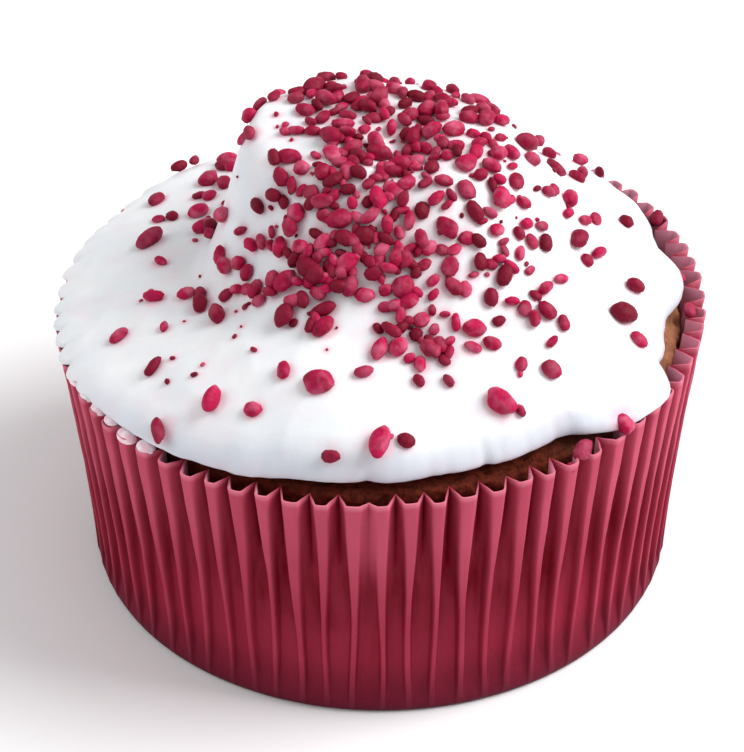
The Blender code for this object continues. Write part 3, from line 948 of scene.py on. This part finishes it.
def lip_reach(bearings):
    """How far the lip reaches: a wavering edge, and the lobes and notches that only the lip has."""
    rounds = [Vector((math.cos(turn), math.sin(turn), 0)) for turn in np.radians(bearings)]
    waver = np.array([noise.noise(9 * at) + 0.6 * noise.noise(24 * at + Vector((0, 0, 24))) for at in rounds])
    lobes = lapping(bearings) * (LOBE_START_MM + LOBE_GROWTH_MM * flute_lobe(bearings))
    tucked = TUCKED_MM * hill(BEHIND_THE_BEADS, bearings)
    lapped = LAPPED_MM * hill(ON_THE_PAPER, bearings)
    for middle, deep, wide in NOTCHES:
        lobes = lobes - deep * np.exp(-(((bearings - middle) / wide) ** 2))
    return icing_reach(bearings) + (EDGE_WAVER_MM * waver - tucked + lapped) * MM, lobes * MM


UNDER_STEPS = (0.25, 0.5, 0.72, 0.86)
LIP_TURNS = np.radians(np.linspace(-90, 72, 15))
TOP_STEPS = np.linspace(0.93, 0.03, 112)
OVER_CAKE = 0.5 * MM  # between the cake and the icing's hidden underside


def icing_rings(bearings):
    """Rings from the middle of the underside, over the cake, round the lip and up to the top."""
    (reach, lobes), turned = lip_reach(bearings), np.radians(bearings)
    low = around(LIP_HEIGHT_MM, bearings) * MM - lapping(bearings) * LOBE_DROOP * flute_lobe(bearings)
    rings = []
    for step in UNDER_STEPS:
        radius = reach * step
        rings.append((radius, cake_top(radius) + OVER_CAKE))
    for turn in LIP_TURNS:
        radius = reach + lobes * (1 - 0.8 * (1 - math.cos(turn))) - LIP_ROUND * (1 - math.cos(turn))
        top = spooned_top(radius * np.cos(turned), radius * np.sin(turned))
        over = low + (top - low) * math.sin(turn)
        under = low + LIP_DROP * math.sin(turn)
        covers = np.where(radius < SHOULDER_RADIUS + 1.4 * MM, cake_top(radius) + 0.2 * MM, 0)
        rings.append((radius, over if turn > 0 else np.maximum(under, covers)))
    for step in TOP_STEPS:
        radius = reach * step * (1 - 0.25 * (LIP_ROUND / reach) * step)
        radius = radius + lobes * 0.45 * eased(0.86, 0.93, step)
        rings.append((radius, spooned_top(radius * np.cos(turned), radius * np.sin(turned))))
    return [np.stack([radius * np.cos(turned), radius * np.sin(turned), z], axis=1) for radius, z in rings]


print("lobes at bearing 180:", np.round(flute_lobe(np.array([180.0, 182.5, 185.0])), 2))

# %% [markdown]
# ## The raspberry bits
#
# Freeze-dried raspberries break into their single drupelets: small rounded
# nuggets, 1 to 3.5 mm long, that fall from the fingers and pile up where most
# of them drop. A scatter over the whole icing would look even and dull, and a
# list of several hundred places would be tiresome to change. So the few bits
# that lie alone are listed, and the others are drawn in patches: each patch
# has a middle, a spread, a count, and how close two of its bits may lie. A bit
# that lands on others rides up on them, which makes the heaps. The seed makes
# every run drop them in the same spots, and the CAD solid has the 150 largest.
#
# Crumbs of the same berries lie between them, and a few bits were caught
# between the icing and the paper on the right.

# %% Where the bits fall
SEED = 24
STRAY_BITS_MM = (  # x, y, length, and the direction of the length in degrees
    (-24.2, 6.8, 3.5, 114), (-0.1, -29.3, 3.5, 71), (11.8, -24.1, 3.4, 124), (-22, -24, 3.1, 146),
    (-16.6, -22.8, 3, 102), (-6, -23.6, 3, 11), (24.5, -9.8, 3, 127), (-16, -0.3, 3, 38),
    (-16.4, -10.9, 2.8, 12), (14.7, 4.1, 2.8, 115), (-5.6, -17.5, 2.8, 61), (17.3, 25.6, 2.4, 122),
    (-22.8, -15.6, 2.5, 122), (-26.7, -9.2, 2.5, 117), (-23.3, -4.3, 2.4, 62), (-17.5, 3.7, 2.3, 25),
    (-13.2, 6.9, 2.3, 53), (21.7, 22.2, 2.2, 80), (26.1, -12.4, 2.2, 54), (26.2, -3.6, 2.2, 111),
    (-16.8, 16.7, 2.1, 31), (-1.7, -22.5, 2.1, 3), (25.8, 6.6, 2.1, 2), (-12.5, -24.9, 2, 24),
    (-9.5, -21.8, 2, 127), (-22, 23.6, 2, 167), (11.1, -18.6, 2, 125), (18.2, 19.9, 2, 164),
    (-20.4, 24.7, 2, 44), (-4.8, -30.3, 1.9, 5), (-12.2, 8.6, 1.9, 130), (2.5, -28.8, 1.9, 120),
    (22.3, 3.6, 1.9, 130), (18.3, -14.8, 1.8, 79), (-17.3, 21.4, 1.8, 86), (-23, 2.5, 1.8, 78),
    (23.6, 18.4, 1.7, 155), (3.8, -22.9, 1.6, 110), (-22, -10, 1.5, 166), (6.7, -22.6, 1.5, 115),
    (13.8, -24.5, 1.5, 96), (-23.7, 11.4, 1.5, 128),
)
PATCHES_MM = (  # x, y, spread along x, spread along y, count, and how close two may lie
    (2.4, -10.2, 4.3, 3.2, 58, 0.22), (-4.3, -4.7, 2.6, 4.4, 58, 0.21), (-2.7, -11.9, 3.2, 1.9, 44, 0.21),
    (-5.2, -12.7, 1.6, 1.1, 12, 0.16), (-1.4, 7.2, 4.6, 2.4, 38, 0.25), (6.1, -10.4, 4.4, 3.7, 32, 0.28),
    (3.9, -18.5, 1.9, 1.5, 21, 0.2), (-14.8, -6.5, 2.2, 2.2, 16, 0.3), (12.0, -2.7, 2.2, 3.8, 22, 0.3),
    (-2.1, 2.2, 4.5, 4.2, 18, 0.28), (4.1, 0.8, 1.7, 2.4, 15, 0.24), (11.8, -7.7, 3.4, 5.5, 10, 0.36),
    (19.9, -0.9, 1.1, 1.7, 6, 0.36), (-20.3, 14.8, 2.3, 5.0, 6, 0.4), (1.0, 18.0, 9.0, 4.5, 70, 0.36),
)
SLENDER_STRAYS = {0: 0.4, 3: 0.42, 4: 0.5, 7: 0.55, 12: 0.5, 13: 0.52}  # width as a share of length
EDGE_MM = 2.0  # no drawn bit comes closer to the icing's edge
LENGTHS_MM = (1.0, 2.9, 1.8)  # shortest, longest and most usual
PILE_RISE = 0.45  # how far a bit rides up on one that it lies on, as a share of its length


def raspberry_bits():
    """Every bit as x, y, lift, length, width and thickness in metres, turn and tip in radians."""
    draw = random.Random(SEED)
    bits = list(STRAY_BITS_MM)
    for middle_x, middle_y, spread_x, spread_y, count, closeness in PATCHES_MM:
        wanted = len(bits) + count
        while len(bits) < wanted:
            x, y = draw.gauss(middle_x, spread_x), draw.gauss(middle_y, spread_y)
            length, turn = draw.triangular(*LENGTHS_MM), draw.uniform(0, 180)
            clear = all(math.dist((x, y), bit[:2]) > closeness * (length + bit[2]) for bit in bits)
            if clear and math.hypot(x, y) < icing_reach(math.degrees(math.atan2(y, x))) / MM - EDGE_MM:
                bits.append((x, y, length, turn))
    shaped = []
    for number, (x, y, length, turn) in enumerate(bits):
        gaps = [math.dist((x, y), bit[:2]) / (0.4 * (length + bit[2])) for bit in bits[:number]]
        lift = PILE_RISE * length * (1 - min([1.0, *gaps]))
        width, thickness = length * draw.uniform(0.5, 0.85), length * draw.uniform(0.45, 0.68)
        width = length * SLENDER_STRAYS.get(number, width / length)
        sizes = [value * MM for value in (x, y, lift, length, width, thickness)]
        shaped.append((*sizes, math.radians(turn), draw.gauss(0, 0.2)))
    return shaped


bits = raspberry_bits()
print(len(bits), "bits, the longest", round(max(bit[3] for bit in bits) / MM, 2), "mm")

# %% Set the bits on the icing
BIT_SUNK = 0.2


def bit_stance(bit):
    """A bit's centre and the rotation that lays it on the slope of the icing."""
    x, y, lift, _, _, thickness, turn, tip = bit
    step = 0.4 * MM
    xs, ys = np.array([x, x + step, x - step, x, x]), np.array([y, y, y, y + step, y - step])
    here, right, left, back, front = spooned_top(xs, ys)
    normal = Vector((left - right, front - back, 2 * step)).normalized()
    centre = Vector((x, y, here)) + normal * (thickness * (0.5 - BIT_SUNK) + lift)
    lie = normal.to_track_quat("Z", "Y").to_matrix()
    return centre, lie @ Matrix.Rotation(turn, 3, "Z") @ Matrix.Rotation(tip, 3, "X")


def points_mesh(name, centres, **layers):
    """Loose points with attributes for a recipe to read: numbers or vectors."""
    mesh = bpy.data.meshes.new(name)
    mesh.from_pydata([tuple(centre) for centre in centres], [], [])
    for label, values in layers.items():
        values = np.array(values, dtype=float)
        kind, field = ("FLOAT", "value") if values.ndim == 1 else ("FLOAT_VECTOR", "vector")
        mesh.attributes.new(label, kind, "POINT").data.foreach_set(field, values.ravel())
    return mesh


stances = [bit_stance(bit) for bit in bits]
print(f"highest bit's centre: {max(centre.z for centre, _ in stances) / MM:.1f} mm")

# %% Add the crumbs and the bits caught at the rim
CRUMBS = 130
CRUMB_SPREAD_MM = (12.5, 10.0)
CRUMB_MIDDLE_MM = (-1.0, -5.0)
CRUMB_REACH_MM = 29.5
CAUGHT_BITS_MM = (  # bearing, radius, height over the rim, length, and its direction in degrees
    (308, 32.7, 0.1, 2.7, 60), (317.5, 32.9, 0.5, 3.0, 110), (304.5, 33.3, -0.9, 1.5, 90),
    (25, 32.8, 0.3, 2.4, 70), (5, 31.5, 0.4, 1.9, 150), (356, 32.3, -0.3, 2.1, 95), (327, 33.0, 0.2, 2.0, 80),
)


def rim_height(bearing):
    return CASE_SIZES["Height"] + CASE_SIZES["Rim tilt"] * math.cos(bearing)


def fine_bits():
    """Crumbs of raspberry on the icing, and bits that lie between icing and paper, with their stances."""
    draw = random.Random(SEED + 2)
    found = []
    while len(found) < CRUMBS:
        x, y = (draw.gauss(middle, spread) for middle, spread in zip(CRUMB_MIDDLE_MM, CRUMB_SPREAD_MM))
        if math.hypot(x, y) < CRUMB_REACH_MM:
            length = draw.uniform(0.35, 0.85) * MM
            bit = (x * MM, y * MM, 0.0, length, 0.75 * length, 0.6 * length, draw.uniform(0, math.pi), 0.0)
            found.append((bit, bit_stance(bit)))
    for bearing, radius, rise, length, direction in CAUGHT_BITS_MM:
        bearing, length = math.radians(bearing), length * MM
        centre = Vector((radius * math.cos(bearing), radius * math.sin(bearing), rise)) * MM
        centre.z += rim_height(bearing)
        lie = Euler((draw.gauss(0, 0.3), draw.gauss(0, 0.3), math.radians(direction))).to_matrix()
        bit = (centre.x, centre.y, 0.0, length, 0.62 * length, 0.6 * length, 0.0, 0.0)
        found.append((bit, (centre, lie)))
    return found


for bit, stance in fine_bits():
    bits.append(bit)
    stances.append(stance)
print(len(bits), "bits and crumbs in all")

# %% [markdown]
# ### The look and shape of one bit
#
# Dried berry skin is deep crimson where it is clean, near black in its seams,
# and dusty pink where its bloom has stayed. No two bits are equally dark, so
# each gets a shade of its own, and noise paints seams and bloom over it.
#
# Several hundred separate meshes would be slow, so the recipe makes ten lumpy
# nuggets out of small balls and sets one of them at each point, turned and
# scaled to the bit's own length, width and thickness. The seven kinds for small
# bits have few faces. The three for the biggest bits have more, because their
# outline is seen.

# %% Finish of the bits
BRIGHT_BERRY = (0.47, 0.005, 0.066)
DARK_BERRY = (0.14, 0.001, 0.013)
DUSTY_BERRY = (0.68, 0.18, 0.29)


def berry_finish():
    finish, tree, shader = new_finish(
        "dried_raspberry", Specular_IOR_Level=0.16, Subsurface_Weight=0.12, Subsurface_Scale=0.5 * MM,
    )
    shade = painted(tree, "shade")
    skin_grain = grain(tree, 0.5 * MM, detail=4.0)
    bloom = grain(tree, 1.6 * MM, detail=2.0)
    seams = grain(tree, 1.2 * MM, detail=1.0)
    colour = between(tree, shade, DARK_BERRY, BRIGHT_BERRY)
    colour = between(tree, ((0.50 - seams) * 4).clamped() * 0.55, colour, DARK_BERRY)
    dusty = ((bloom - 0.44) * 4).clamped() * (0.25 + 0.75 * skin_grain) * ((shade - 0.15) * 1.3).clamped()
    colour = between(tree, dusty * 0.9, colour, DUSTY_BERRY)
    feed(shader.inputs["Base Color"], colour)
    feed(shader.inputs["Roughness"], 0.38 + 0.35 * skin_grain)
    bumped(tree, shader, skin_grain + bloom, 0.2 * MM, 0.8)
    return finish


berry = berry_finish()
print("berry finish:", berry.name)

# %% Recipe for the bits
NUGGET_KINDS, FINE_KINDS = 7, 3
BIG_BIT = 2.5 * MM
LUMPS_ACROSS = 0.85
KIND_STEP = 7.3  # how far apart the kinds lie in the noise
SHUFFLE = 997  # makes the pick of a kind look unrelated to the shade


def bits_recipe(sizes):
    tree, size, output = new_recipe("dropped_bits", sizes, with_start=True)
    entry = next(node for node in tree.nodes if node.type == "GROUP_INPUT")
    variants = add_node(tree, "GeometryNodeJoinGeometry")
    for kind in range(NUGGET_KINDS + FINE_KINDS):
        fineness = 3 if kind < FINE_KINDS else 2
        ball = add_node(tree, "GeometryNodeMeshIcoSphere", {"Radius": 1.0, "Subdivisions": fineness})
        place = add_node(tree, "GeometryNodeInputPosition").outputs[0]
        lumps = add_node(tree, "ShaderNodeTexNoise", {
            "Vector": place, "W": size["Seed"] + KIND_STEP * kind, "Scale": LUMPS_ACROSS, "Detail": 1.0,
        }, noise_dimensions="4D")
        swell = 1 + (Wire(lumps.outputs[0]) - 0.5) * 2 * size["Lumpiness"]
        grown_place = add_node(tree, "ShaderNodeVectorMath", {0: place, "Scale": swell}, operation="SCALE")
        nugget = add_node(tree, "GeometryNodeSetPosition", {
            "Geometry": ball.outputs["Mesh"], "Position": grown_place.outputs[0],
        })
        kept_whole = add_node(tree, "GeometryNodeGeometryToInstance", {0: nugget.outputs[0]})
        feed(variants.inputs[0], kept_whole.outputs[0])

    def own(label, kind):
        return add_node(tree, "GeometryNodeInputNamedAttribute", {"Name": label}, data_type=kind).outputs[0]

    turned = add_node(tree, "FunctionNodeEulerToRotation", {0: own("lie", "FLOAT_VECTOR")})
    scale = own("size", "FLOAT_VECTOR")
    pick = Wire(own("shade", "FLOAT")) * SHUFFLE
    pick = pick - pick.math("FLOOR")
    length = Wire(add_node(tree, "ShaderNodeSeparateXYZ", {0: scale}).outputs[0]) * 2
    big = length.math("GREATER_THAN", BIG_BIT)
    # kinds count from the one joined last, so those with more faces come after the others
    pick = (pick * NUGGET_KINDS).towards(NUGGET_KINDS + pick * FINE_KINDS, big)
    placed = add_node(tree, "GeometryNodeInstanceOnPoints", {
        "Points": entry.outputs["Geometry"], "Instance": variants.outputs[0], "Pick Instance": True,
        "Instance Index": pick.math("FLOOR"), "Rotation": turned.outputs[0], "Scale": scale,
    })
    return end_recipe(tree, placed, size["Finish"], output)


BIT_SIZES = {"Seed": 3, "Lumpiness": 0.36, "Finish": berry}
drop_recipe = bits_recipe(BIT_SIZES)
print("recipe for the bits:", len(drop_recipe.nodes), "nodes")

# %% Drop the bits
def drop_bits():
    draw = random.Random(SEED + 1)
    layers = {
        "lie": [tuple(turn.to_euler()) for _, turn in stances],
        "size": [(bit[3] / 2, bit[4] / 2, bit[5] / 2) for bit in bits],
        "shade": [draw.uniform(0.0, 1.0) ** 0.8 for _ in bits],
    }
    start = points_mesh("bit_places", [centre for centre, _ in stances], **layers)
    dropped = grow("raspberry_bits", drop_recipe, BIT_SIZES, start)
    dropped.data.shade_smooth()
    return dropped


dropped = drop_bits()
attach(dropped, "root")
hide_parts("icing")
print("bits:", triangles(dropped), "triangles,", box_mm(dropped), "mm")

# %% [markdown]
# ### Spooning the icing on
#
# The bits bleed a little juice where they touch the damp sugar. A k-d tree
# finds how near the closest bit is to each point of the icing, and that
# nearness is stored on the mesh as a blush for the finish to read. Towards its
# lip and on its steep side the icing is painted a little blue and grey: that is
# painted shade, where those faces turn away from the light. Faint pink smears
# mark where bits rolled over the wet sugar.

# %% Finish of the icing
ICING_WHITE = (0.88, 0.885, 0.895)
ICING_SHADE = (0.72, 0.755, 0.795)
# blue-grey painted shade for the lip and the steep side
PAINTED_SHADE_GREY = (0.56, 0.59, 0.67)
BLUSH_PINK = (0.86, 0.42, 0.52)


def icing_finish():
    finish, tree, shader = new_finish(
        "white_icing", Roughness=0.42, Specular_IOR_Level=0.45,
        Subsurface_Weight=0.35, Subsurface_Scale=1.2 * MM, Subsurface_Radius=(1.0, 0.85, 0.8),
    )
    cloud = grain(tree, 6 * MM, detail=3.0)
    sugar = grain(tree, 0.28 * MM, detail=3.0)
    strokes = grain(tree, 2.4 * MM, detail=2.0, stretch=(1, 0.45, 0.7))
    colour = between(tree, cloud.eased(), ICING_SHADE, ICING_WHITE)
    # painted shade: blue-grey towards the lip and on the steep side
    colour = between(tree, painted(tree, "thinness") * 0.75, colour, PAINTED_SHADE_GREY)
    smears = ((grain(tree, 4.5 * MM, detail=4.0, roughness=0.6) - 0.49) * 4).clamped()
    colour = between(tree, smears * 0.16, colour, BLUSH_PINK)
    colour = between(tree, painted(tree, "blush"), colour, BLUSH_PINK)
    feed(shader.inputs["Base Color"], colour)
    bumped(tree, shader, strokes * 0.8 + sugar * 0.15, 0.16 * MM, 0.5)
    return finish


white_icing = icing_finish()
print("icing finish:", white_icing.name)

# %% Spoon the icing on
STEPS_ROUND = PLEATS * 8
BLUSH_WIDTH = 0.38 * MM
BLUSH_LOOK_ROUND = 2.6 * MM
BLUSH_WEAKEST, BLUSH_SPREAD = 0.25, 0.3
BIT_RADIUS_SHARE = 0.42  # of its length
STEEP_SHADE_SHARE = 0.42  # how much painted shade the steepest side gets, where the lip's counts as 1
LIP_SHADE_FROM = (0.91, 1.0)  # shares of the icing's reach
STEEP_FROM = (0.22, 0.60)  # 0 is level and 1 is upright


def blush_on(points):
    """How much juice each point took from the bits around it, 0 to 1."""
    tree = kdtree.KDTree(len(stances))
    for number, (centre, _) in enumerate(stances):
        tree.insert(centre, number)
    tree.balance()
    juicy = []
    for point in points:
        blush = 0.0
        for _, number, away in tree.find_range(point, BLUSH_LOOK_ROUND):
            gap = max(0.0, away - BIT_RADIUS_SHARE * bits[number][3])
            juice = BLUSH_WEAKEST + BLUSH_SPREAD * math.sin(number * 2.4) ** 2
            blush = max(blush, math.exp(-(gap / BLUSH_WIDTH) ** 2) * juice)
        juicy.append(blush)
    return juicy


def spoon_icing():
    bearings = np.arange(STEPS_ROUND) * 360 / STEPS_ROUND
    rings = icing_rings(bearings)
    bottom = (0, 0, CAKE_TOP_HEIGHT + OVER_CAKE)
    top = (0, 0, float(spooned_top(np.zeros(1), np.zeros(1))[0]))
    icing = skin("spooned_icing", rings, bottom, top, white_icing)
    points = np.array([vertex.co for vertex in icing.data.vertices])
    bearings = np.degrees(np.arctan2(points[:, 1], points[:, 0]))
    share = np.hypot(points[:, 0], points[:, 1]) / icing_reach(bearings)
    # painted shade: towards the lip, except where the icing ran over the rim, and on faces that tilt away
    # from upright
    at_lip = eased(*LIP_SHADE_FROM, share) * (1 - lapping(bearings))
    steep = eased(*STEEP_FROM, 1 - np.array([vertex.normal.z for vertex in icing.data.vertices]))
    thinness = np.maximum(at_lip, STEEP_SHADE_SHARE * steep)
    for label, values in (("blush", blush_on(points)), ("thinness", thinness)):
        icing.data.attributes.new(label, "FLOAT", "POINT").data.foreach_set("value", values)
    return icing


icing = spoon_icing()
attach(icing, "root")
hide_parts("icing")
print("icing:", triangles(icing), "triangles,", box_mm(icing), "mm")

# %% [markdown]
# ### Beads of icing in the flutes
#
# Beside the lapping part, the icing only just reached the rim. There it drew
# itself into round beads, one in each flute, glossy and tinted by the juice.
# They follow the pleats' own rule, so a recipe sets a row of small balls at
# the middles of the pleats, starting from a numbered one.

# %% Set the beads
BEAD_SIZES = {
    "First pleat": 40,
    "Beads": 6,
    "Ring radius": 33.0 * MM,
    "Height": 29.65 * MM,
    "Rim tilt": 1.2 * MM,
    "Bead radius": 0.86 * MM,
}
BEAD_STRETCH = (1.05, 1.25, 0.75)  # outwards, along the rim and upwards
BEAD_SPREAD = 0.22
BEAD_PINK = (0.90, 0.58, 0.66)


def bead_finish():
    finish, tree, shader = new_finish(
        "pink_icing_bead", Roughness=0.22, Specular_IOR_Level=0.5,
        Subsurface_Weight=0.4, Subsurface_Scale=0.8 * MM, Subsurface_Radius=(1.0, 0.6, 0.65),
    )
    streaks = grain(tree, 0.9 * MM, detail=3.0)
    feed(shader.inputs["Base Color"], between(tree, ((streaks - 0.42) * 4).clamped(), BEAD_PINK, ICING_WHITE))
    bumped(tree, shader, streaks, 0.1 * MM, 0.5)
    return finish


def beads_recipe(sizes):
    tree, size, output = new_recipe("bead_row", sizes)
    line = add_node(tree, "GeometryNodeMeshLine", {"Count": size["Beads"]})
    number = size["First pleat"] + Wire(add_node(tree, "GeometryNodeInputIndex").outputs[0])
    bearing = crest_middle(number, number, 1.0) * (2 * math.pi / PLEATS)
    out, along = bearing.math("COSINE"), bearing.math("SINE")
    height = size["Height"] + size["Rim tilt"] * out + RIM_RIPPLE * uneven(number, 2.1, 3.7)
    place = add_node(tree, "ShaderNodeCombineXYZ", {
        0: size["Ring radius"] * out, 1: size["Ring radius"] * along, 2: height,
    })
    row = add_node(tree, "GeometryNodeSetPosition", {
        "Geometry": line.outputs[0], "Position": place.outputs[0],
    })
    ball = add_node(tree, "GeometryNodeMeshIcoSphere", {"Radius": size["Bead radius"], "Subdivisions": 3})
    turn = add_node(tree, "ShaderNodeCombineXYZ", {2: bearing})
    spin = add_node(tree, "FunctionNodeEulerToRotation", {0: turn.outputs[0]})
    swell = 1 + BEAD_SPREAD * uneven(number, 1.3, 2.9)
    scale = add_node(tree, "ShaderNodeCombineXYZ", {
        axis: stretch * swell for axis, stretch in enumerate(BEAD_STRETCH)
    })
    beads = add_node(tree, "GeometryNodeInstanceOnPoints", {
        "Points": row.outputs[0], "Instance": ball.outputs[0],
        "Rotation": spin.outputs[0], "Scale": scale.outputs[0],
    })
    return end_recipe(tree, beads, size["Finish"], output)


bead_values = {**BEAD_SIZES, "Finish": bead_finish()}
beads = grow("icing_beads", beads_recipe(bead_values), bead_values)
beads.data.shade_smooth()
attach(beads, "root")
print("beads:", triangles(beads), "triangles,", box_mm(beads), "mm")

# %% [markdown]
# ## The two boxes
#
# The box of the dressed muffin and the CAD model's box are printed side by
# side, axis by axis.

# %% Print both boxes
dressed_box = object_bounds()


for axis, low, high, cad_low, cad_high in zip("xyz", *dressed_box, *cad_box):
    dressed = f"{low / MM:.2f} to {high / MM:.2f} mm"
    print(f"{axis}: dressed {dressed}, CAD {cad_low / MM:.2f} to {cad_high / MM:.2f} mm")
